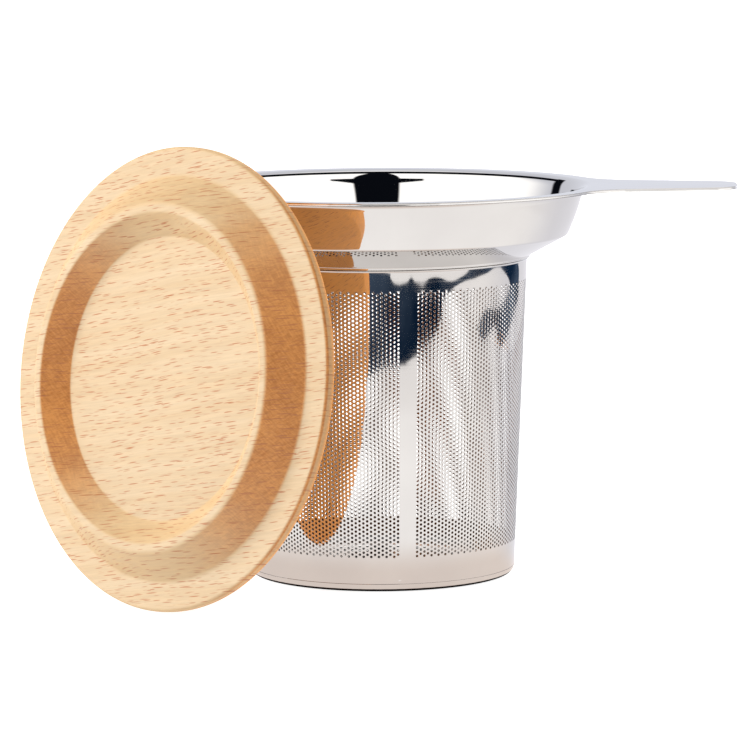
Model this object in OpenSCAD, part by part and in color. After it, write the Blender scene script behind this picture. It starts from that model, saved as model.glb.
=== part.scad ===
// Tea strainer: a stamped steel collar with one flat handle carries a tapered perforated basket,
// and a turned wooden lid stands on its edge and leans against the rim.
// Origin: centre of the base, on the strainer's axis. +Z up, handle along +X. Millimetres.

/* [Rim and handle] */
// Height of the rim's top face above the surface the strainer stands on
rim_h = 84.4; // [70:0.1:110]
// Outer radius of the rim
rim_r = 48.7; // [47.5:0.1:51]
// Thickness of the stamped sheet
collar_t = 0.6; // [0.4:0.05:0.8]
// Distance from the axis to the tip of the handle
handle_reach = 77; // [70:0.5:95]
// Half width of the handle where its edges would meet the rim
handle_root_w = 13.6; // [11:0.1:15]
// Half width of the handle at its tip
handle_tip_w = 8; // [7:0.1:10]
// Radius of the concave blends between rim and handle
handle_blend_r = 14; // [8:0.5:18]
// Radius of the handle's two outer corners
handle_corner_r = 5.5; // [3:0.1:6]

/* [Bowl and neck] */
// Radius of the bowl's mouth, where its wall would meet the rim
mouth_r = 44; // [43:0.1:44.5]
// Radius of the shoulder between bowl wall and cone
shoulder_r = 40.6; // [39:0.1:42]
// Depth of the shoulder below the rim's top face
shoulder_depth = 10.55; // [8:0.05:14]
// Height of the cone between neck and shoulder
cone_h = 4.45; // [3:0.05:7]
// Outer radius of the neck that grips the basket
neck_r = 32.4; // [31.5:0.1:34]
// Height of the neck's straight lip
neck_h = 0.4; // [0.3:0.1:2]

/* [Basket] */
// Thickness of the rolled wall
wall_t = 0.4; // [0.3:0.05:0.5]
// Outer radius of the basket at its foot
foot_r = 28.9; // [27:0.1:30]
// Thickness of the base sheet
base_t = 0.5; // [0.4:0.05:0.6]
// Radius of the rounded bottom edge
base_edge_r = 1.7; // [1.2:0.1:2.2]
// Height of the lip that stands inside the wall
base_lip_h = 1.6; // [1:0.1:3]

/* [Lid] */
// Outer radius of the lid
lid_r = 48.25; // [47:0.05:49]
// Thickness of the lid's edge
lid_edge_t = 1.95; // [1.6:0.05:2.5]
// Thickness from the flange face to the flat back
lid_back_t = 9.4; // [7:0.1:10]
// Radius of the flat back
lid_flat_r = 39.3; // [38.9:0.1:41]
// Radius of the boss where it meets the flange face
boss_r = 42.2; // [41:0.1:42.5]
// Height of the boss above the flange face
boss_h = 5.7; // [5:0.1:7]
// Outer radius of the boss's crest
crest_outer_r = 36.1; // [35.8:0.1:37]
// Inner radius of the boss's crest
crest_inner_r = 34.3; // [33.5:0.1:34.6]
// Radius of the recess floor, which takes the basket's foot
recess_r = 29.5; // [29.3:0.1:31]
// Depth of the recess below the crest
recess_depth = 4.5; // [3:0.1:5]

/* [Lid pose] */
// How far the lid leans from upright, in degrees
lid_lean = 8; // [5:0.5:12]
// Direction in which the lid stands, in degrees from the handle
lid_turn = -134; // [-140:1:-90]
// Sideways offset of the lid along the rim
lid_offset = 2.5; // [-3:0.1:3]
// Clearance between the lid's back and the rim
lid_gap = 0.2; // [0.1:0.05:1]

/* [Hidden] */
round_fn = 180;
arc_steps = 6;
neck_z = rim_h - shoulder_depth - cone_h - neck_h;
seam_z = base_edge_r;
wall_inner_r = neck_r - collar_t;
wall_top_z = neck_z + neck_h + 0.8;
taper = (wall_inner_r - foot_r) / (neck_z - seam_z);
hem_r = 0.28;
rim_bend_r = 2;
shoulder_bend_r = 1.2;
neck_bend_r = 0.3;
bowl_bow = 0.18;
lid_edge_r = 0.8;
lid_back_r = 2;
boss_foot_r = 2.2;
crest_out_bend_r = 1.6;
crest_in_bend_r = 1;
recess_bend_r = 0.8;

function unit(v) = v / norm(v);
function left(v) = [-v.y, v.x];

// Corner b of the path a-b-c, moved to the path's left by t
function mitre(a, b, c, t) =
    let (n1 = left(unit(b - a)), n2 = left(unit(c - b)))
    b + t * (n1 + n2) / (1 + n1 * n2);

// Arc of radius r that rounds corner b of the path a-b-c
function corner(a, b, c, r) =
    let (u = unit(a - b), w = unit(c - b), half = acos(u * w) / 2,
         centre = b + unit(u + w) * (r / sin(half)),
         p0 = b + u * (r / tan(half)), p1 = b + w * (r / tan(half)),
         a0 = atan2(p0.y - centre.y, p0.x - centre.x),
         a1 = atan2(p1.y - centre.y, p1.x - centre.x),
         turn = a1 - a0 > 180 ? a1 - a0 - 360 : a1 - a0 < -180 ? a1 - a0 + 360 : a1 - a0)
    [for (i = [0:arc_steps]) centre + r * [cos(a0 + turn * i / arc_steps), sin(a0 + turn * i / arc_steps)]];

// A path of points with a radius for each; radius 0 keeps the point sharp
function rounded(path, radii) =
    [for (i = [0:len(path) - 1])
        each (radii[i] == 0 ? [path[i]] : corner(path[i - 1], path[i], path[i + 1], radii[i]))];

// The section of a bent sheet whose outer face follows the path, with its thickness on the left
function sheet_section(path, radii, t) =
    let (last = len(path) - 1,
         inner = [for (i = [0:last])
             i == 0 ? path[0] + t * left(unit(path[1] - path[0]))
             : i == last ? path[last] + t * left(unit(path[last] - path[last - 1]))
             : mitre(path[i - 1], path[i], path[i + 1], t)],
         side = [for (i = [0:last]) i == 0 || i == last ? 0
             : sign(left(path[i] - path[i - 1]) * (path[i + 1] - path[i]))],
         inner_radii = [for (i = [0:last]) radii[i] == 0 ? 0 : radii[i] - side[i] * t],
         back = rounded(inner, inner_radii))
    concat(rounded(path, radii), [for (i = [len(back) - 1:-1:0]) back[i]]);

// The bowl wall's middle, pushed out a little because the wall is slightly convex
shoulder = [shoulder_r, rim_h - shoulder_depth];
mouth = [mouth_r, rim_h - collar_t];
bowl_middle = (shoulder + mouth) / 2 - bowl_bow * left(unit(mouth - shoulder));

module collar() {
    path = [[neck_r, neck_z], [neck_r, neck_z + neck_h], shoulder, bowl_middle, mouth, [rim_r, mouth.y]];
    color("silver") union() {
        rotate_extrude($fn = round_fn)
            polygon(sheet_section(path, [0, neck_bend_r, shoulder_bend_r, 0, rim_bend_r, 0], collar_t));
        translate([0, 0, mouth.y]) linear_extrude(collar_t) handle_outline();
    }
}

// Flat outline of the handle, with its concave blends into the rim
module handle_outline() {
    slope = (handle_root_w - handle_tip_w) / (handle_reach - rim_r);
    normal = unit([slope, 1]);
    along = [normal.y, -normal.x];
    edge_d = normal * [rim_r, handle_root_w];
    blend_d = edge_d + handle_blend_r;
    blend = normal * blend_d + along * sqrt(pow(rim_r + handle_blend_r, 2) - pow(blend_d, 2));
    rim_tangent = blend * rim_r / (rim_r + handle_blend_r);
    edge_tangent = blend - normal * handle_blend_r;
    corner_centre_x = handle_reach - handle_corner_r;
    corner_centre_y = (edge_d - handle_corner_r - normal.x * corner_centre_x) / normal.y;
    corner_tangent = [corner_centre_x, corner_centre_y] + normal * handle_corner_r;
    inner_r = mouth_r + rim_bend_r;
    difference() {
        for (side = [0, 1]) mirror([0, side]) union() {
            polygon([[0, 0], rim_tangent, blend, edge_tangent, corner_tangent, [corner_centre_x, 0]]);
            polygon([[0, -1], [0, corner_centre_y], [corner_centre_x, corner_centre_y],
                     [handle_reach, corner_centre_y], [handle_reach, -1]]);
            translate([corner_centre_x, corner_centre_y]) circle(r = handle_corner_r, $fn = round_fn);
        }
        for (side = [-1, 1]) translate([blend.x, side * blend.y]) circle(r = handle_blend_r, $fn = round_fn);
        circle(r = inner_r, $fn = round_fn);
    }
}

// The basket's rolled wall as a plain sheet, with the hem bead under the neck
module basket_wall() {
    wall = [[foot_r, seam_z], [wall_inner_r, neck_z], [wall_inner_r, wall_top_z]];
    color("silver") rotate_extrude($fn = round_fn) union() {
        polygon(sheet_section(wall, [0, 0, 0], wall_t));
        translate([wall_inner_r - taper, neck_z - hem_r]) circle(r = hem_r, $fn = 24);
    }
}

// The base sheet, with a rounded edge and a lip that stands inside the wall
module base_disc() {
    lip_r = foot_r - wall_t;
    top_z = seam_z + base_lip_h;
    top_r = lip_r + taper * base_lip_h;
    outer = rounded([[0, 0], [foot_r, 0], [foot_r, seam_z + 0.001]], [0, base_edge_r, 0]);
    inner = rounded([[top_r - base_t, top_z], [lip_r - base_t, seam_z], [lip_r - base_t, base_t], [0, base_t]],
                    [0, 0, base_edge_r - base_t - 0.1, 0]);
    color("silver") rotate_extrude($fn = round_fn)
        polygon(concat(outer, [[lip_r, seam_z + 0.001], [top_r, top_z]], inner));
}

// Flange face at z = 0, boss and recess below it, flat back above it
module lid_section() {
    recess_z = recess_depth - boss_h;
    polygon(rounded(
        [[0, recess_z], [recess_r, recess_z], [crest_inner_r, -boss_h], [crest_outer_r, -boss_h],
         [boss_r, 0], [lid_r, 0], [lid_r, lid_edge_t], [lid_flat_r, lid_back_t], [0, lid_back_t]],
        [0, recess_bend_r, crest_in_bend_r, crest_out_bend_r, boss_foot_r, lid_edge_r, lid_edge_r, lid_back_r, 0]));
}

module lid() {
    edge_turn = atan2(lid_r - lid_flat_r, lid_back_t - lid_edge_t);
    edge_z = lid_edge_t - lid_edge_r * tan(edge_turn / 2);
    centre_z = (lid_r - lid_edge_r) * cos(lid_lean) + edge_z * sin(lid_lean) + lid_edge_r;
    reach = rim_r + (rim_h - centre_z) * tan(lid_lean) + (lid_back_t + lid_gap) / cos(lid_lean);
    color("burlywood") rotate([0, 0, lid_turn]) translate([reach, lid_offset, centre_z])
        rotate([0, -90 - lid_lean, 0]) rotate_extrude($fn = round_fn) lid_section();
}

collar();
basket_wall();
base_disc();
lid();
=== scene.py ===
"""The looks of a tea strainer: polished steel collar, perforated basket and a turned beech lid."""

import math

import bpy
import numpy as np
from mathutils import Matrix, Vector, geometry


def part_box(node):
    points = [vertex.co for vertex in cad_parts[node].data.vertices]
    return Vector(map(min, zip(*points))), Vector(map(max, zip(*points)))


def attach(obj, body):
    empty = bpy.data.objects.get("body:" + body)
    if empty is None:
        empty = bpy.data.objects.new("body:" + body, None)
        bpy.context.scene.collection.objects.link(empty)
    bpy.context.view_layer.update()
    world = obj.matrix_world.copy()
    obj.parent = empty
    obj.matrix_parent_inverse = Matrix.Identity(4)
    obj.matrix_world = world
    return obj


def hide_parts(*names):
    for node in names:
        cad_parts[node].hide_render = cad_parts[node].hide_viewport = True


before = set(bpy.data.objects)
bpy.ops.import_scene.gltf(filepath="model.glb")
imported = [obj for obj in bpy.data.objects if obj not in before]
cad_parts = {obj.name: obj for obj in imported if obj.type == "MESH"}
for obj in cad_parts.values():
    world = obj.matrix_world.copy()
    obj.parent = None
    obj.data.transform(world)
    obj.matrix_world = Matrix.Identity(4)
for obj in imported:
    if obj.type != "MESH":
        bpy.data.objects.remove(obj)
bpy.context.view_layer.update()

MM = 0.001

# ---------------------------------------------------------------- sizes, in millimetres; the outer ones from the frame


def corner_mm(node, corner):
    """The low (0) or high (1) corner of a CAD node's box."""
    return [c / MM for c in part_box(node)[corner]]


RIM_R = -corner_mm("collar", 0)[0]
RIM_TOP = corner_mm("collar", 1)[2]
NECK_Z = corner_mm("collar", 0)[2]
HANDLE_REACH = corner_mm("collar", 1)[0]
FOOT_R = corner_mm("base_disc", 1)[0]
WALL_TOP = corner_mm("basket_wall", 1)[2]
SEAM_Z = 1.7

SHEET_T = 0.6
NECK_R = 32.4
NECK_LIP = 0.4
NECK_BEND_R = 0.3
SHOULDER = (40.6, 73.85)
SHOULDER_BEND_R = 1.2
BOWL_BOW = 0.42
BOWL_BOW_R = 45.0
MOUTH_R = 44.0
MOUTH_BEND_R = 2.0
# The wall's shown sheet is thinner than the CAD sheet, so that light gets through the holes at a slant
WALL_T = 0.15
CAD_WALL_T = 0.4
WALL_R = NECK_R - SHEET_T
TAPER = (WALL_R - FOOT_R) / (NECK_Z - SEAM_Z)

# The perforation: staggered columns of holes, and one plain strip where the sheet's ends are welded
HOLE_R = 0.3
HOLE_PITCH = 0.9015
HOLE_ROWS = 63
FIRST_HOLE_Z = 7.7
HOLE_COLUMNS = 222
STRIP_AT = -76.8
STRIP_HALF = 4.05
STRIP_SPANS = 4
WALL_PIECES = 4
HOLE_SIDES = 8
# How strongly the holes' inner rings take the painted shade of the wall's inner skin
HOLE_RIM_SHADE = 0.2

# ---------------------------------------------------------------- meshes

# The longest straight stretch of a turned section, in millimetres
MESH_STEP = 1.0


def add_mesh(name, verts, faces, material, body, node, crease=35.0):
    """One shown piece, given in millimetres, which replaces a CAD node and rides on its body."""
    mesh = bpy.data.meshes.new(name)
    mesh.from_pydata(np.asarray(verts) * MM, [], faces)
    mesh.materials.append(material)
    mesh.shade_smooth()
    mesh.set_sharp_from_angle(angle=math.radians(crease))
    obj = bpy.data.objects.new(name, mesh)
    bpy.context.collection.objects.link(obj)
    even = obj.modifiers.new("even_normals", "WEIGHTED_NORMAL")
    even.keep_sharp = True
    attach(obj, body)
    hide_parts(node)
    return obj


def mark_points(obj, name, values):
    """Stores one number for each point of a mesh, for its material."""
    marks = obj.data.attributes.new(name, "FLOAT", "POINT")
    marks.data.foreach_set("value", np.asarray(values, dtype=np.float32))


def unit(v):
    return v / np.linalg.norm(v)


def left(v):
    return np.array([-v[1], v[0]])


def corner_arc(a, b, c, r, steps):
    """Points of the arc of radius r that rounds corner b of the path a-b-c."""
    u, w = unit(a - b), unit(c - b)
    half = math.acos(max(-1.0, min(1.0, float(u @ w)))) / 2
    centre = b + unit(u + w) * (r / math.sin(half))
    start, end = b + u * (r / math.tan(half)) - centre, b + w * (r / math.tan(half)) - centre
    a0, a1 = math.atan2(start[1], start[0]), math.atan2(end[1], end[0])
    turn = (a1 - a0 + math.pi) % (2 * math.pi) - math.pi
    return [centre + r * np.array([math.cos(a0 + turn * i / steps), math.sin(a0 + turn * i / steps)])
            for i in range(steps + 1)]


def rounded(path, steps=10):
    """A path of (r, z, radius) as points, with each corner rounded by its radius."""
    pts = [np.array(p[:2], float) for p in path]
    out = []
    for i, p in enumerate(path):
        if p[2]:
            out += corner_arc(pts[i - 1], pts[i], pts[i + 1], p[2], steps)
        else:
            out.append(pts[i])
    return out


def sheet_section(path, t, edge_steps=6):
    """The closed section of a bent sheet: its outer face along the path, rounded ends, its inner face."""
    pts = [np.array(p[:2], float) for p in path]
    last = len(pts) - 1
    inner = []
    for i, p in enumerate(pts):
        n1 = left(unit(p - pts[i - 1])) if i else left(unit(pts[1] - p))
        n2 = left(unit(pts[i + 1] - p)) if i < last else n1
        shifted = p + t * (n1 + n2) / (1 + n1 @ n2)
        side = np.sign(left(p - pts[i - 1]) @ (pts[i + 1] - p)) if 0 < i < last else 0
        inner.append((*shifted, path[i][2] - side * t if path[i][2] else 0))
    front, back = rounded(path), rounded(inner)[::-1]
    return front + end_cap(front[-1], back[0], edge_steps) + back + end_cap(back[-1], front[0], edge_steps)


def end_cap(a, b, steps):
    """Points between a and b on the half circle that turns outward, without its ends."""
    mid, spoke = (a + b) / 2, (a - b) / 2
    out = -left(spoke)
    angles = [math.pi * i / steps for i in range(1, steps)]
    return [mid + spoke * math.cos(t) + out * math.sin(t) for t in angles]


def densify(points, step):
    """Adds points on the long straight stretches of a path, which ends before its last point."""
    out = []
    for a, b in zip(points[:-1], points[1:]):
        n = max(1, math.ceil(np.linalg.norm(b - a) / step))
        out += [a + (b - a) * i / n for i in range(n)]
    return out


def lathe(section, angles):
    """The points of a section turned about the Z axis, one ring for each angle."""
    return [np.stack([section[:, 0] * math.cos(a), section[:, 0] * math.sin(a), section[:, 1]], -1) for a in angles]


def full_turn(count):
    """Evenly spaced angles round the axis."""
    return np.linspace(0, 2 * math.pi, count, endpoint=False)


def ring_faces(rings, per_ring, closed_section):
    """Quads between neighbouring rings of a lathe that goes all the way round."""
    spans = per_ring if closed_section else per_ring - 1
    i, j = np.meshgrid(np.arange(rings), np.arange(spans), indexing="ij")
    ni, nj = (i + 1) % rings, (j + 1) % per_ring
    quads = np.stack([i * per_ring + j, i * per_ring + nj, ni * per_ring + nj, ni * per_ring + j], -1)
    return quads.reshape(-1, 4)


# ---------------------------------------------------------------- collar

handle = {"root_w": 13.6, "tip_w": 8.0, "blend_r": 14.0, "corner_r": 5.5}


def handle_edge(theta):
    """Distance from the axis to the collar's outline in direction theta, which the handle pushes out."""
    slope = (handle["root_w"] - handle["tip_w"]) / (HANDLE_REACH - RIM_R)
    normal = unit(np.array([slope, 1.0]))
    along = np.array([normal[1], -normal[0]])
    edge_d = normal @ np.array([RIM_R, handle["root_w"]])
    blend_d = edge_d + handle["blend_r"]
    blend = normal * blend_d + along * math.sqrt((RIM_R + handle["blend_r"]) ** 2 - blend_d ** 2)
    corner_x = HANDLE_REACH - handle["corner_r"]
    corner = np.array([corner_x, (edge_d - handle["corner_r"] - normal[0] * corner_x) / normal[1]])
    d = np.array([math.cos(theta), abs(math.sin(theta))])

    def angle(p):
        return math.atan2(p[1], p[0])

    turn = angle(d)
    if turn > angle(blend):
        return RIM_R
    if turn > angle(blend - normal * handle["blend_r"]):
        return circle_hit(d, blend, handle["blend_r"], -1)
    if turn > angle(corner + normal * handle["corner_r"]):
        return edge_d / (normal @ d)
    if turn > angle(corner + np.array([handle["corner_r"], 0])):
        return circle_hit(d, corner, handle["corner_r"], 1)
    return HANDLE_REACH / d[0]


def circle_hit(d, centre, r, side):
    """Where the ray along d meets a circle: the near side for -1, the far side for 1."""
    along = d @ centre
    return along + side * math.sqrt(max(0.0, along ** 2 - centre @ centre + r ** 2))


def build_collar(material):
    """The stamped sheet turned about the axis, with its rim stretched out into the handle."""
    shoulder, mouth = np.array(SHOULDER), np.array([MOUTH_R, RIM_TOP - SHEET_T])
    bulge = (shoulder + mouth) / 2 - BOWL_BOW * left(unit(mouth - shoulder))
    path = [(NECK_R, NECK_Z, 0), (NECK_R, NECK_Z + NECK_LIP, NECK_BEND_R), (*SHOULDER, SHOULDER_BEND_R),
            (*bulge, BOWL_BOW_R), (*mouth, MOUTH_BEND_R), (RIM_R, mouth[1], 0)]
    outline = sheet_section(path, SHEET_T)
    section = np.array(densify(outline + outline[:1], MESH_STEP))
    flat_from = MOUTH_R + 1.5 * MOUTH_BEND_R
    reach = math.degrees(math.atan2(2 * handle["root_w"], RIM_R))
    # Degrees between the rings, fine across the handle and coarse on the plain rim
    fine, coarse = 0.16, 0.75
    angles = np.concatenate([np.arange(-reach, reach, fine), np.arange(reach, 360 - reach, coarse)])
    edge = RIM_R - SHEET_T / 2
    on_flange = section[:, 0] > flat_from
    flat = on_flange & (section[:, 0] <= edge)
    rounding = on_flange & ~flat
    verts = []
    for a in np.radians(angles):
        r = section[:, 0].copy()
        width = handle_edge(a) - SHEET_T / 2 - flat_from
        r[flat] = flat_from + (r[flat] - flat_from) * width / (edge - flat_from)
        r[rounding] = section[rounding, 0] - RIM_R + handle_edge(a)
        verts.append(np.stack([r * math.cos(a), r * math.sin(a), section[:, 1]], -1))
    faces = ring_faces(len(angles), len(section), True)
    return add_mesh("collar_shell", np.concatenate(verts), faces.tolist(), material, "strainer", "collar")


# ---------------------------------------------------------------- basket


def wall_radius(z):
    """The wall's outer radius: a taper up to the neck, and then a straight lip."""
    return min(WALL_R, FOOT_R + TAPER * (z - SEAM_Z))


def wall_levels():
    """Heights and outward offsets of the wall's plain rows under and over the holes, with a groove and the hem."""
    bottom = [(SEAM_Z, -0.12), (SEAM_Z + 0.1, 0), (2.6, 0), (2.75, -0.035), (2.9, 0), (5.0, 0)]
    hem = [(NECK_Z - 0.62, 0), (NECK_Z - 0.5, 0.17), (NECK_Z - 0.3, 0.26), (NECK_Z - 0.1, 0.17), (NECK_Z, 0)]
    return bottom, [(66.5, 0)] + hem + [(WALL_TOP, 0)]


def build_wall(material):
    """The rolled sheet, truly perforated, in sectors that meet edge to edge."""
    half = HOLE_PITCH / 2
    lowest = FIRST_HOLE_Z - half
    middle = [(lowest + half * m, 0.0) for m in range(2 * HOLE_ROWS + 2)]
    bottom, top = wall_levels()
    levels = bottom + middle + top
    first = len(bottom)
    step = (360 - 2 * STRIP_HALF) / (HOLE_COLUMNS - 1)
    start = STRIP_AT + STRIP_HALF - step / 2
    strip = [start - (2 * STRIP_HALF - step) * i / STRIP_SPANS for i in range(STRIP_SPANS, 0, -1)]
    lines = strip + [start + step * k for k in range(HOLE_COLUMNS + 1)]
    cuts = np.linspace(0, len(lines) - 1, WALL_PIECES + 1).astype(int)
    for piece, (c0, c1) in enumerate(zip(cuts[:-1], cuts[1:])):
        verts, faces, inside = wall_sector(lines, levels, first, c0, c1)
        obj = add_mesh(f"basket_wall_{piece + 1}", verts, faces, material, "strainer", "basket_wall")
        # The inner skin's points carry the painted brown-dark shade
        mark_points(obj, "inside", inside)


def wall_sector(lines, levels, first, c0, c1):
    """Outer and inner skins between two column lines, with the holes' walls and the four edges."""
    rows = len(levels)
    count = c1 - c0 + 1
    radius = np.array([wall_radius(z) for z, _ in levels])
    height = np.array([z for z, _ in levels])
    bulge = np.array([b for _, b in levels])
    verts, faces = [], []
    for side in (0, 1):
        r = radius + bulge if side == 0 else radius - WALL_T
        for k in range(c0, c1 + 1):
            a = math.radians(lines[k])
            verts.append(np.stack([r * math.cos(a), r * math.sin(a), height], -1))
    verts = list(np.concatenate(verts))
    # The inner skin gets the full painted shade, the outer skin none
    inside = [0.0] * (count * rows) + [1.0] * (count * rows)

    def at(side, k, i):
        return side * count * rows + (k - c0) * rows + i

    for k in range(c0, c1):
        holes = {}
        if k >= STRIP_SPANS:
            offset = (k - STRIP_SPANS) % 2
            a = math.radians((lines[k] + lines[k + 1]) / 2)
            for j in range(HOLE_ROWS):
                i = first + 2 * j + offset
                z = height[i + 1]
                ring = []
                for side in (0, 1):
                    ring.append(len(verts))
                    inside += [HOLE_RIM_SHADE * side] * HOLE_SIDES
                    r = wall_radius(z) - side * WALL_T
                    for s in full_turn(HOLE_SIDES):
                        zz = z + HOLE_R * math.sin(s)
                        rr = r + TAPER * (zz - z)
                        aa = a + HOLE_R * math.cos(s) / r
                        verts.append(np.array([rr * math.cos(aa), rr * math.sin(aa), zz]))
                holes[i] = ring
        i = 0
        while i < rows - 1:
            for side in (0, 1):
                def put(face):
                    faces.append(face if side == 0 else face[::-1])

                if i in holes:
                    h = holes[i][side]
                    bl, ml, tl = (at(side, k, i + n) for n in (0, 1, 2))
                    br, mr, tr = (at(side, k + 1, i + n) for n in (0, 1, 2))
                    e, ne, n, nw, w, sw, s, se = range(h, h + HOLE_SIDES)
                    for face in ([mr, tr, ne, e], [tr, n, ne], [tr, tl, n], [tl, nw, n], [tl, ml, w, nw],
                                 [ml, bl, sw, w], [bl, s, sw], [bl, br, s], [br, se, s], [br, mr, e, se]):
                        put(face)
                else:
                    put([at(side, k, i), at(side, k + 1, i), at(side, k + 1, i + 1), at(side, k, i + 1)])
            if i in holes:
                outer, inner = holes[i]
                for s in range(HOLE_SIDES):
                    t = (s + 1) % HOLE_SIDES
                    faces.append([outer + s, inner + s, inner + t, outer + t])
                i += 2
            else:
                i += 1
        for i, flip in ((0, True), (rows - 1, False)):
            face = [at(0, k, i), at(0, k + 1, i), at(1, k + 1, i), at(1, k, i)]
            faces.append(face[::-1] if flip else face)
    for k, flip in ((c0, False), (c1, True)):
        for i in range(rows - 1):
            face = [at(0, k, i), at(0, k, i + 1), at(1, k, i + 1), at(1, k, i)]
            faces.append(face[::-1] if flip else face)
    return verts, faces, inside


def build_base(material):
    """The base sheet: a rounded edge turned on the axis, and a flat floor with staggered holes."""
    thickness, lip, hole_zone, floor_r = 0.5, 1.6, 25.6, 26.6
    edge_r, inner_edge_r, seam_gap = SEAM_Z, 1.1, 0.01
    lip_r = FOOT_R - CAD_WALL_T
    seam = SEAM_Z + seam_gap
    section = rounded([(floor_r, 0, 0), (FOOT_R, 0, edge_r), (FOOT_R, seam, 0)], 12)
    section += [np.array([lip_r, seam]), np.array([lip_r + TAPER * lip, SEAM_Z + lip])]
    section += [np.array([lip_r + TAPER * lip - thickness, SEAM_Z + lip])]
    section += rounded([(lip_r - thickness, SEAM_Z, 0), (lip_r - thickness, thickness, inner_edge_r),
                        (floor_r, thickness, 0)], 8)
    section = np.array(section)
    around = 180
    per_ring = len(section)
    verts = list(np.concatenate(lathe(section, full_turn(around))))
    faces = ring_faces(around, per_ring, False).tolist()

    flat = [Vector((floor_r * math.cos(a), floor_r * math.sin(a))) for a in full_turn(around)]
    links = [(i, (i + 1) % around) for i in range(around)]
    column = HOLE_PITCH * math.sqrt(3) / 2
    reach = int(hole_zone / column) + 1
    centres = []
    for i in range(-reach, reach + 1):
        for j in range(-reach, reach + 1):
            c = (i * column, (j + (i % 2) / 2) * HOLE_PITCH)
            if math.hypot(*c) < hole_zone:
                centres.append(c)
    for c in centres:
        at = len(flat)
        flat += [Vector((c[0] + HOLE_R * math.cos(t), c[1] + HOLE_R * math.sin(t)))
                 for t in full_turn(HOLE_SIDES) + math.pi / HOLE_SIDES]
        links += [(at + s, at + (s + 1) % HOLE_SIDES) for s in range(HOLE_SIDES)]
    pts, _, tris, origin, _, _ = geometry.delaunay_2d_cdt(flat, links, [], 0, 1e-7)
    source = [o[0] for o in origin]
    low = len(verts)
    verts += [np.array([p.x, p.y, 0.0]) for p in flat[around:]]
    verts += [np.array([p.x, p.y, thickness]) for p in flat[around:]]
    drilled = len(flat) - around

    def vertex(i, level):
        if i < around:
            return i * per_ring + (per_ring - 1 if level else 0)
        return low + level * drilled + i - around

    for tri in tris:
        ids = [source[i] for i in tri]
        groups = {(i - around) // HOLE_SIDES for i in ids}
        if min(ids) >= around and len(groups) == 1:
            continue
        a, b, c = (flat[i] for i in ids)
        if (b - a).cross(c - a) < 0:
            ids.reverse()
        faces.append([vertex(i, 1) for i in ids])
        faces.append([vertex(i, 0) for i in reversed(ids)])
    for h in range(len(centres)):
        ring = around + HOLE_SIDES * h
        for s in range(HOLE_SIDES):
            a, b = ring + s, ring + (s + 1) % HOLE_SIDES
            faces.append([vertex(a, 0), vertex(b, 0), vertex(b, 1), vertex(a, 1)])
    return add_mesh("basket_base", verts, faces, material, "strainer", "base_disc")


# ---------------------------------------------------------------- lid

LID = {"r": 48.25, "edge": 1.95, "back": 9.4, "flat": 39.3, "boss": 42.2, "boss_h": 5.7, "crest_out": 36.1,
       "crest_in": 34.3, "recess": 29.5, "depth": 4.5}
LID_BENDS = {"recess": 0.8, "crest_in": 1.0, "crest_out": 1.6, "boss": 1.4, "edge": 0.8, "back": 2.0}
LEAN, TURN, LID_OFFSET, LID_GAP = 8.0, -134.0, 2.5, 0.2


def lid_place():
    """The matrix from the lid's own frame, with its flange face at z = 0 and its boss below, to the row frame."""
    lean = math.radians(LEAN)
    edge_turn = math.atan2(LID["r"] - LID["flat"], LID["back"] - LID["edge"])
    edge_r = LID_BENDS["edge"]
    edge_z = LID["edge"] - edge_r * math.tan(edge_turn / 2)
    z = (LID["r"] - edge_r) * math.cos(lean) + edge_z * math.sin(lean) + edge_r
    out = RIM_R + (RIM_TOP - z) * math.tan(lean) + (LID["back"] + LID_GAP) / math.cos(lean)
    return (Matrix.Rotation(math.radians(TURN), 4, "Z") @ Matrix.Translation((out, LID_OFFSET, z))
            @ Matrix.Rotation(-math.pi / 2 - lean, 4, "Y"))


def build_lid(material):
    """The lid turned in its own frame and laid where it leans, with marks for the grain."""
    floor_z = LID["depth"] - LID["boss_h"]
    path = [(0, floor_z, 0), (LID["recess"], floor_z, LID_BENDS["recess"]),
            (LID["crest_in"], -LID["boss_h"], LID_BENDS["crest_in"]),
            (LID["crest_out"], -LID["boss_h"], LID_BENDS["crest_out"]), (LID["boss"], 0, LID_BENDS["boss"]),
            (LID["r"], 0, LID_BENDS["edge"]), (LID["r"], LID["edge"], LID_BENDS["edge"]),
            (LID["flat"], LID["back"], LID_BENDS["back"]), (0, LID["back"], 0)]
    section = np.array(densify(rounded(path), MESH_STEP)[1:])
    around = 256
    middles = [[0, 0, floor_z], [0, 0, LID["back"]]]
    local = np.concatenate(lathe(section, full_turn(around)) + [middles])
    faces = ring_faces(around, len(section), False).tolist()
    front, back = len(local) - 2, len(local) - 1
    for i in range(around):
        a, b = i * len(section), ((i + 1) % around) * len(section)
        faces.append([front, a, b])
        faces.append([back, b + len(section) - 1, a + len(section) - 1])
    place = np.array(lid_place())
    verts = local @ place[:3, :3].T + place[:3, 3]
    obj = add_mesh("lid_turning", verts, faces, material, "lid_body", "lid")
    grain = obj.data.attributes.new("grain", "FLOAT_VECTOR", "POINT")
    grain.data.foreach_set("vector", (local * MM).ravel())
    normals = np.array([v.normal[:] for v in obj.data.vertices])
    across, out = normals @ place[:3, 1], normals @ place[:3, 2]
    # The turned walls show their end grain; walls that face away from the key light get its colour in full as painted
    # shade, walls on the lit side only a share of it
    lit_side_share = 0.3
    mark_points(obj, "end_grain_and_shade", np.maximum(-across, lit_side_share * across))
    mark_points(obj, "slope", np.sqrt(np.maximum(0, 1 - out ** 2)))
    return obj


# ---------------------------------------------------------------- materials


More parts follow.
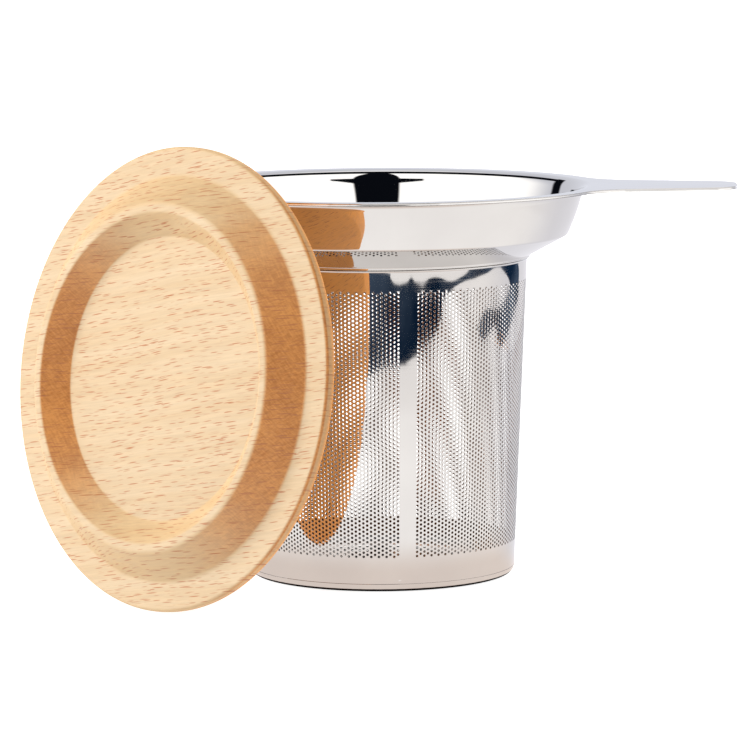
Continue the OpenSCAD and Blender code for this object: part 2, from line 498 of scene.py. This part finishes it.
class Nodes:
    """A short way to write a node tree."""

    def __init__(self, tree):
        self.tree = tree
        tree.nodes.clear()

    def add(self, kind, inputs=None, **settings):
        node = self.tree.nodes.new(kind)
        for key, value in settings.items():
            setattr(node, key, value)
        for key, value in (inputs or {}).items():
            if isinstance(value, bpy.types.NodeSocket):
                self.tree.links.new(value, node.inputs[key])
            else:
                node.inputs[key].default_value = value
        return node

    def math(self, operation, a, b=0.0, c=0.0):
        return self.add("ShaderNodeMath", {0: a, 1: b, 2: c}, operation=operation).outputs[0]

    def ramp(self, value, stops):
        node = self.add("ShaderNodeValToRGB", {0: value})
        ramp = node.color_ramp
        while len(ramp.elements) < len(stops):
            ramp.elements.new(0.5)
        for element, (at, colour) in zip(ramp.elements, stops):
            element.position = at
            element.color = (*colour, 1) if isinstance(colour, tuple) else (colour, colour, colour, 1)
        return node.outputs[0]

    def noise(self, at, scale, detail, output="Fac"):
        inputs = {"Scale": scale, "Detail": detail}
        if at is not None:
            inputs["Vector"] = at
        return self.add("ShaderNodeTexNoise", inputs).outputs[output]

    def mapped(self, at, **inputs):
        return self.add("ShaderNodeMapping", {"Vector": at, **inputs}).outputs[0]

    def fade(self, value, start, end, low=0.0, high=1.0, smooth=False):
        """The value's way from start to end, as a number from low to high."""
        kind = "SMOOTHSTEP" if smooth else "LINEAR"
        inputs = {0: value, 1: start, 2: end, 3: low, 4: high}
        return self.add("ShaderNodeMapRange", inputs, interpolation_type=kind).outputs[0]

    def stored(self, name, output="Fac"):
        """A value that a mesh keeps for its points."""
        return self.add("ShaderNodeAttribute", attribute_name=name, attribute_type="GEOMETRY").outputs[output]

    def vector(self, operation, inputs, output=0):
        return self.add("ShaderNodeVectorMath", inputs, operation=operation).outputs[output]

    def mix(self, amount, a, b, blend="MIX"):
        node = self.add("ShaderNodeMix", data_type="RGBA", blend_type=blend)
        for key, value in ((0, amount), (6, a), (7, b)):
            if isinstance(value, bpy.types.NodeSocket):
                self.tree.links.new(value, node.inputs[key])
            else:
                node.inputs[key].default_value = value if key == 0 else (*value, 1)
        return node.outputs[2]


def new_material(name):
    material = bpy.data.materials.new(name)
    material.use_nodes = True
    return material, Nodes(material.node_tree)


def steel_material():
    """Mirror-polished stainless steel with faint polishing lines and a slightly uneven sheet."""
    material, n = new_material("polished_steel")
    place = n.add("ShaderNodeTexCoord").outputs["Object"]
    smudges = n.noise(place, 60.0, 4.0)
    lines = n.noise(n.mapped(place, Scale=(40.0, 40.0, 5000.0)), 1.0, 3.0)
    waves = n.noise(place, 90.0, 1.0)
    # Painted shade: the wall's inner skin is coloured brown-dark, and is rougher
    inside = n.stored("inside")
    clean, smudged, inside_shade_brown = (0.63, 0.615, 0.605), (0.68, 0.668, 0.655), (0.25, 0.14, 0.075)
    colour = n.mix(inside, n.ramp(smudges, [(0.3, clean), (0.7, smudged)]), inside_shade_brown)
    rough = n.math("MULTIPLY_ADD", inside, 0.2, n.fade(lines, 0.3, 0.7, 0.015, 0.035))
    bump = n.add("ShaderNodeBump", {"Height": waves, "Strength": 0.05, "Distance": 0.001}).outputs[0]
    shader = n.add("ShaderNodeBsdfPrincipled", {"Base Color": colour, "Metallic": 1.0, "Roughness": rough,
                                                "Normal": bump})
    n.add("ShaderNodeOutputMaterial", {"Surface": shader.outputs[0]})
    return material


def ray_flecks(n, along, cell, half, seed):
    """Short lens-shaped marks, one in most cells of the board, each with its own strength."""
    at = n.mapped(along, Scale=tuple(1 / c for c in cell), Location=(seed, seed, seed))
    cells = n.add("ShaderNodeTexVoronoi", {"Vector": at, "Scale": 1.0, "Randomness": 1.0})
    off = n.vector("SUBTRACT", {0: at, 1: cells.outputs["Position"]})
    off = n.vector("MULTIPLY", {0: off, 1: tuple(c / h for c, h in zip(cell, half))})
    mark = n.fade(n.vector("LENGTH", {0: off}, "Value"), 0.55, 1.05, 1.0, 0.0)
    chance = n.add("ShaderNodeSeparateColor", {0: cells.outputs["Color"]}).outputs[0]
    return n.math("MULTIPLY", mark, n.fade(chance, 0.2, 0.7))


# The slope tint and the end-grain colours paint shade on the turned walls, the end-grain colours along with their end
# grain; the back's deep orange is painted shade on the lid's back
BEECH = {"pale": (0.525, 0.405, 0.265), "band": (0.49, 0.357, 0.215), "slope_shade_tint": (1.0, 0.89, 0.69),
         "end_grain_shade_dark": (0.37, 0.119, 0.015), "end_grain_shade_light": (0.57, 0.228, 0.047), "back": (0.90, 0.34, 0.045),
         "fleck": (0.32, 0.11, 0.04)}
# The board's turn in degrees, its drift in metres, and where the back's painted shade starts and is full, in metres
GRAIN_TURN, GRAIN_DRIFT = 11, 0.0022
SHADED_BACK_FROM = (0.0011, 0.0024)
# The flecks' cells and half sizes in metres, across, along and into the board, and a seed
COARSE_FLECKS = ((0.0010, 0.0044, 0.004), (0.00012, 0.0019, 0.0024), 0.0)
FINE_FLECKS = ((0.0010, 0.0031, 0.003), (0.0001, 0.0013, 0.0017), 7.3)


def beech_material():
    """Beech: a pale board with soft growth bands and red-brown flecks, with painted shade on its turned walls and a
    deep orange painted shade on its back.
    """
    material, n = new_material("beech")
    local = n.stored("grain", "Vector")
    tilted = n.mapped(local, Rotation=(0, 0, math.radians(GRAIN_TURN)))
    bend = n.vector("SUBTRACT", {0: n.noise(tilted, 25.0, 2.0, "Color"), 1: (0.5, 0.5, 0.5)})
    along = n.vector("ADD", {0: tilted, 1: n.vector("SCALE", {0: bend, "Scale": GRAIN_DRIFT})})

    bands = n.noise(n.mapped(along, Scale=(300.0, 10.0, 90.0)), 1.0, 3.0)
    fibre = n.noise(n.mapped(along, Scale=(2600.0, 110.0, 1500.0)), 1.0, 3.0)
    slope = n.stored("slope")
    face = n.ramp(bands, [(0.32, BEECH["pale"]), (0.68, BEECH["band"])])
    # Painted shade: sloping walls are tinted darker and more orange
    face = n.mix(slope, face, BEECH["slope_shade_tint"], "MULTIPLY")

    hatch = []
    for turn in (35, -50):
        hatch_at = n.mapped(local, Rotation=(0, 0, math.radians(turn)))
        hatch.append(n.noise(n.mapped(hatch_at, Scale=(3200.0, 420.0, 900.0)), 1.0, 2.0))
    blush = n.noise(local, 110.0, 2.0)
    fuzz = n.math("MULTIPLY", n.math("ADD", n.math("ADD", *hatch), blush), 0.3333)
    # Painted shade with end grain: the dark orange of the turned walls, strongest on walls that face away from the key
    # light
    shaded_end_grain = n.ramp(fuzz, [(0.38, BEECH["end_grain_shade_dark"]), (0.6, BEECH["end_grain_shade_light"])])
    end = n.fade(n.stored("end_grain_and_shade"), 0.16, 0.7, smooth=True)
    base = n.mix(n.math("MULTIPLY", end, n.fade(slope, 0.86, 0.97, 0.95, 0.35)), face, shaded_end_grain)

    depth = n.add("ShaderNodeSeparateXYZ", {0: local}).outputs[2]
    behind = n.fade(depth, *SHADED_BACK_FROM)
    # Painted shade: the lid's back, in shade between lid and strainer, is coloured deep orange
    base = n.mix(n.math("MULTIPLY", behind, 0.88), base, BEECH["back"])
    base = n.mix(1.0, base, n.ramp(fibre, [(0.3, 0.87), (0.7, 1.0)]), "MULTIPLY")

    flecks = n.math("MAXIMUM", ray_flecks(n, along, *COARSE_FLECKS), ray_flecks(n, along, *FINE_FLECKS))
    colour = n.mix(n.math("MULTIPLY", flecks, 0.9), base, BEECH["fleck"])
    height = n.math("SUBTRACT", n.math("MULTIPLY", fibre, 0.5), n.math("MULTIPLY", flecks, 0.4))
    bump = n.add("ShaderNodeBump", {"Height": height, "Strength": 0.25, "Distance": 0.0002}).outputs[0]
    rough = n.fade(fibre, 0.3, 0.7, 0.5, 0.65)
    shader = n.add("ShaderNodeBsdfPrincipled", {"Base Color": colour, "Roughness": rough, "Normal": bump})
    n.add("ShaderNodeOutputMaterial", {"Surface": shader.outputs[0]})
    return material


# ---------------------------------------------------------------- camera, floor and light

VIEW_TURN = math.radians(2.5)
VIEW_ELEVATION = 0.122645
VIEW_DISTANCE = 0.96779


def facing(azimuth, distance, height):
    """A point round the object, in metres. Azimuth 0 is towards the camera and 90 to its right."""
    a = math.radians(azimuth)
    return Matrix.Rotation(VIEW_TURN, 3, "Z") @ Vector((distance * math.sin(a), -distance * math.cos(a), height))


def build_camera():
    """A long lens, a little above the rim, turned slightly round the axis."""
    data = bpy.data.cameras.new("camera")
    data.sensor_width = 36
    data.lens = 213.69
    data.clip_start, data.clip_end = 0.05, 50
    camera = bpy.data.objects.new("camera", data)
    bpy.context.collection.objects.link(camera)
    roll = -0.005369
    target = Vector((-0.0013, 0, 0.042953))
    eye = target + VIEW_DISTANCE * Vector((0, -math.cos(VIEW_ELEVATION), math.sin(VIEW_ELEVATION)))
    forward = (target - eye).normalized()
    right = Vector((1, 0, 0))
    up = right.cross(forward)
    x = math.cos(roll) * right + math.sin(roll) * up
    y = -math.sin(roll) * right + math.cos(roll) * up
    turn = Matrix((x, y, -forward)).transposed().to_4x4()
    camera.matrix_world = Matrix.Rotation(VIEW_TURN, 4, "Z") @ Matrix.Translation(eye) @ turn
    bpy.context.scene.camera = camera


def stage_material(name, colour, glow=0.0):
    """A plain matt surface of one colour with a faint grain, which may glow white."""
    material, n = new_material(name)
    grain = n.noise(None, 300.0, 2.0)
    tone = n.ramp(grain, [(0.0, tuple(c * 0.98 for c in colour)), (1.0, colour)])
    shader = n.add("ShaderNodeBsdfPrincipled", {"Base Color": tone, "Roughness": 0.6, "Specular IOR Level": 0.0,
                                                "Emission Color": (1, 1, 1, 1), "Emission Strength": glow})
    n.add("ShaderNodeOutputMaterial", {"Surface": shader.outputs[0]})
    return material


def cloth_material():
    """Dark blue cloth with paler worn patches."""
    material, n = new_material("dark_cloth")
    patches = n.noise(None, 2.2, 4.0)
    tone = n.ramp(patches, [(0.4, (0.003, 0.010, 0.025)), (0.7, (0.055, 0.078, 0.115))])
    shader = n.add("ShaderNodeBsdfPrincipled", {"Base Color": tone, "Roughness": 0.9, "Specular IOR Level": 0.0})
    n.add("ShaderNodeOutputMaterial", {"Surface": shader.outputs[0]})
    return material


def add_sheet(name, corners, material, only_reflected=True):
    """A flat sheet of the stage. A reflected one is seen only in the polished steel."""
    mesh = bpy.data.meshes.new(name)
    mesh.from_pydata(corners, [], [list(range(len(corners)))])
    mesh.materials.append(material)
    sheet = bpy.data.objects.new(name, mesh)
    bpy.context.collection.objects.link(sheet)
    if only_reflected:
        sheet.visible_camera = sheet.visible_diffuse = sheet.visible_shadow = False
    return sheet


def smooth_loop(points, steps=5):
    """A closed smooth curve through the points."""
    pts = [np.array(p, float) for p in points]
    out = []
    for i, b in enumerate(pts):
        a, c, d = pts[i - 1], pts[(i + 1) % len(pts)], pts[(i + 2) % len(pts)]
        for s in range(steps):
            t = s / steps
            out.append(0.5 * (2 * b + (c - a) * t + (2 * a - 5 * b + 4 * c - d) * t ** 2
                              + (3 * b - a - 3 * c + d) * t ** 3))
    return out


def reflected_floor_material():
    """The white sweep as the steel shows it: a warm, dimmer painted shade close by the base, white in front and cooler
    behind.
    """
    material, n = new_material("floor_seen_in_steel")
    place = n.add("ShaderNodeTexCoord").outputs["Object"]
    away = n.vector("LENGTH", {0: place}, "Value")
    y = n.add("ShaderNodeSeparateXYZ", {0: place}).outputs[1]
    warm, white, far, cool = (0.98, 0.86, 0.79), (1.23, 1.20, 1.18), (1.13, 1.095, 1.075), (0.90, 0.89, 0.94)
    # Painted shade: the floor close by the base is warmer and dimmer
    colour = n.mix(n.fade(away, 0.044, 0.08, smooth=True), warm, white)
    colour = n.mix(n.fade(away, 0.19, 0.23, smooth=True), colour, far)
    colour = n.mix(n.fade(n.math("DIVIDE", y, away), -0.1, 0.7, smooth=True), colour, cool)
    shader = n.add("ShaderNodeBsdfPrincipled", {"Base Color": (0.02, 0.02, 0.02, 1), "Roughness": 0.8,
                                                "Specular IOR Level": 0.0, "Emission Color": colour,
                                                "Emission Strength": 1.0})
    n.add("ShaderNodeOutputMaterial", {"Surface": shader.outputs[0]})
    return material


def build_floor():
    """The floor as the camera sees it, the floor as the steel shows it, and a painted contact shadow under the base.
    """
    radius, contact_shadow_r, drop = 12.0, 0.0286, 0.0001
    sides = 96
    angles = [2 * math.pi * i / sides for i in range(sides)]
    rim = [(radius * math.cos(a), radius * math.sin(a), -drop) for a in angles]
    add_sheet("floor_reflected", [(x, y, z / 2) for x, y, z in rim], reflected_floor_material())
    # A dark disc under the base, seen only in the steel, is a painted contact shadow
    spot = [(contact_shadow_r * math.cos(a), contact_shadow_r * math.sin(a), -drop / 5) for a in np.linspace(0, 2 * math.pi, 64)[:-1]]
    add_sheet("painted_contact_shadow", spot, stage_material("painted_contact_shadow", (0.03, 0.02, 0.018)))
    floor = add_sheet("floor", rim, stage_material("white_floor", (0.4, 0.4, 0.4), glow=0.9), only_reflected=False)
    floor.visible_glossy = False


# Dark cloths that lie on the studio floor, as (azimuth in degrees, distance in millimetres)
FRONT_CLOTH = [(-20, 258), (3, 260), (18, 269), (30, 286), (40, 300), (46, 330), (50, 366), (57, 385), (65, 399),
               (74, 413), (84, 432), (94, 450), (106, 472), (106, 500), (94, 474), (84, 450), (74, 430), (67, 415),
               (61, 405), (55, 398), (47, 396), (41, 392), (37, 387), (32, 380), (26, 381), (23, 387), (20, 380),
               (15, 376), (10, 378), (7, 386), (5, 396), (-20, 400)]
SIDE_CLOTH = [(104, 496), (104, 470), (114, 474), (120, 468), (121, 456), (115, 430), (105, 402), (98, 388),
              (90, 375), (84, 350), (80, 335), (86, 322), (94, 340), (101, 352), (108, 328), (116, 350), (126, 400),
              (137, 455), (138, 505), (136, 545), (118, 545)]


def build_world():
    """A white studio tent with dark gaps, which the polished steel shows."""
    world = bpy.data.worlds.new("studio")
    bpy.context.scene.world = world
    world.use_nodes = True
    n = Nodes(world.node_tree)
    ray = n.add("ShaderNodeTexCoord").outputs["Generated"]
    ray = n.mapped(ray, Rotation=(0, 0, -VIEW_TURN))
    x, y, z = n.add("ShaderNodeSeparateXYZ", {0: ray}).outputs
    azimuth = n.math("ARCTAN2", x, n.math("MULTIPLY", y, -1.0))
    elevation = n.math("ARCSINE", z)

    def between(value, lo, hi, soft):
        """1 between two angles and 0 outside them, with soft edges, all in degrees."""
        lo, hi, soft = math.radians(lo), math.radians(hi), math.radians(soft)
        up = n.fade(value, lo - soft, lo + soft, smooth=True)
        return n.math("MULTIPLY", up, n.fade(value, hi - soft, hi + soft, 1.0, 0.0, smooth=True))

    # Half-way between this ray and the front: a mirror that faces this way shows this ray to the front
    front = (0.0, -0.9925, 0.122)
    half_way = n.vector("NORMALIZE", {0: n.vector("ADD", {0: ray, 1: front})})
    half_x, half_y, half_z = n.add("ShaderNodeSeparateXYZ", {0: half_way}).outputs
    tilt = n.math("ARCSINE", half_z)
    around = n.math("ARCTAN2", n.math("MULTIPLY", half_x, -1.0), n.math("MULTIPLY", half_y, -1.0))
    arc = n.math("MULTIPLY", between(tilt, 40.5, 54.5, 1.2), between(around, -66, 66, 1.5))
    arc_end = n.math("MULTIPLY", between(tilt, 8, 57, 1.5), between(around, 61.5, 66.5, 0.7))

    slot = n.math("MULTIPLY", between(azimuth, -12.5, 16.5, 1.0), between(elevation, 14, 85, 1.0))
    cap_middle, cap_fall, cap_top = math.radians(2), 0.13, math.radians(28.2)
    from_middle = n.math("ABSOLUTE", n.math("SUBTRACT", azimuth, cap_middle))
    cap = n.math("LESS_THAN", n.math("MULTIPLY_ADD", from_middle, cap_fall, elevation), cap_top)
    cap = n.math("MULTIPLY", cap, n.math("MULTIPLY", between(elevation, 13, 40, 1.0), between(azimuth, -27, 31, 1.0)))

    dark = n.math("MAXIMUM", n.math("MAXIMUM", arc, arc_end), n.math("MAXIMUM", slot, cap))
    front_white, back_white, gap = (1.7, 1.69, 1.67), (0.80, 0.82, 0.90), (0.004, 0.005, 0.008)
    colour = n.mix(dark, n.mix(n.fade(y, 0.1, 0.6, smooth=True), front_white, back_white), gap)
    path = n.add("ShaderNodeLightPath")
    colour = n.mix(path.outputs["Is Diffuse Ray"], colour, (0.52, 0.50, 0.49))
    colour = n.mix(path.outputs["Is Camera Ray"], colour, (1.2, 1.2, 1.2))
    back = n.add("ShaderNodeBackground", {"Color": colour, "Strength": 1.0})
    n.add("ShaderNodeOutputWorld", {"Surface": back.outputs[0]})


def add_light(name, azimuth, distance, height, size, power):
    """A square light aimed at the object's middle, which the steel doesn't show."""
    target_z = 0.04
    data = bpy.data.lights.new(name, "AREA")
    data.size = size
    data.energy = power
    light = bpy.data.objects.new(name, data)
    bpy.context.collection.objects.link(light)
    light.location = facing(azimuth, distance, height)
    aim = Vector((0, 0, target_z)) - light.location
    light.rotation_mode = "QUATERNION"
    light.rotation_quaternion = aim.to_track_quat("-Z", "Y")
    light.visible_glossy = False


def build_stage():
    build_camera()
    build_world()
    build_floor()
    add_light("key", azimuth=-90, distance=1.3, height=0.8, size=0.6, power=32.5)
    add_light("back_fill", azimuth=134, distance=1.0, height=0.75, size=0.6, power=18.0)
    navy = cloth_material()
    for name, outline, height in (("front_cloth", FRONT_CLOTH, 0.0002), ("side_cloth", SIDE_CLOTH, 0.0003)):
        add_sheet(name, [facing(a, d * MM, height) for a, d in smooth_loop(outline)], navy)
    bpy.context.scene.view_settings.view_transform = "Standard"


steel = steel_material()
beech = beech_material()
build_collar(steel)
build_wall(steel)
build_base(steel)
build_lid(beech)
build_stage()
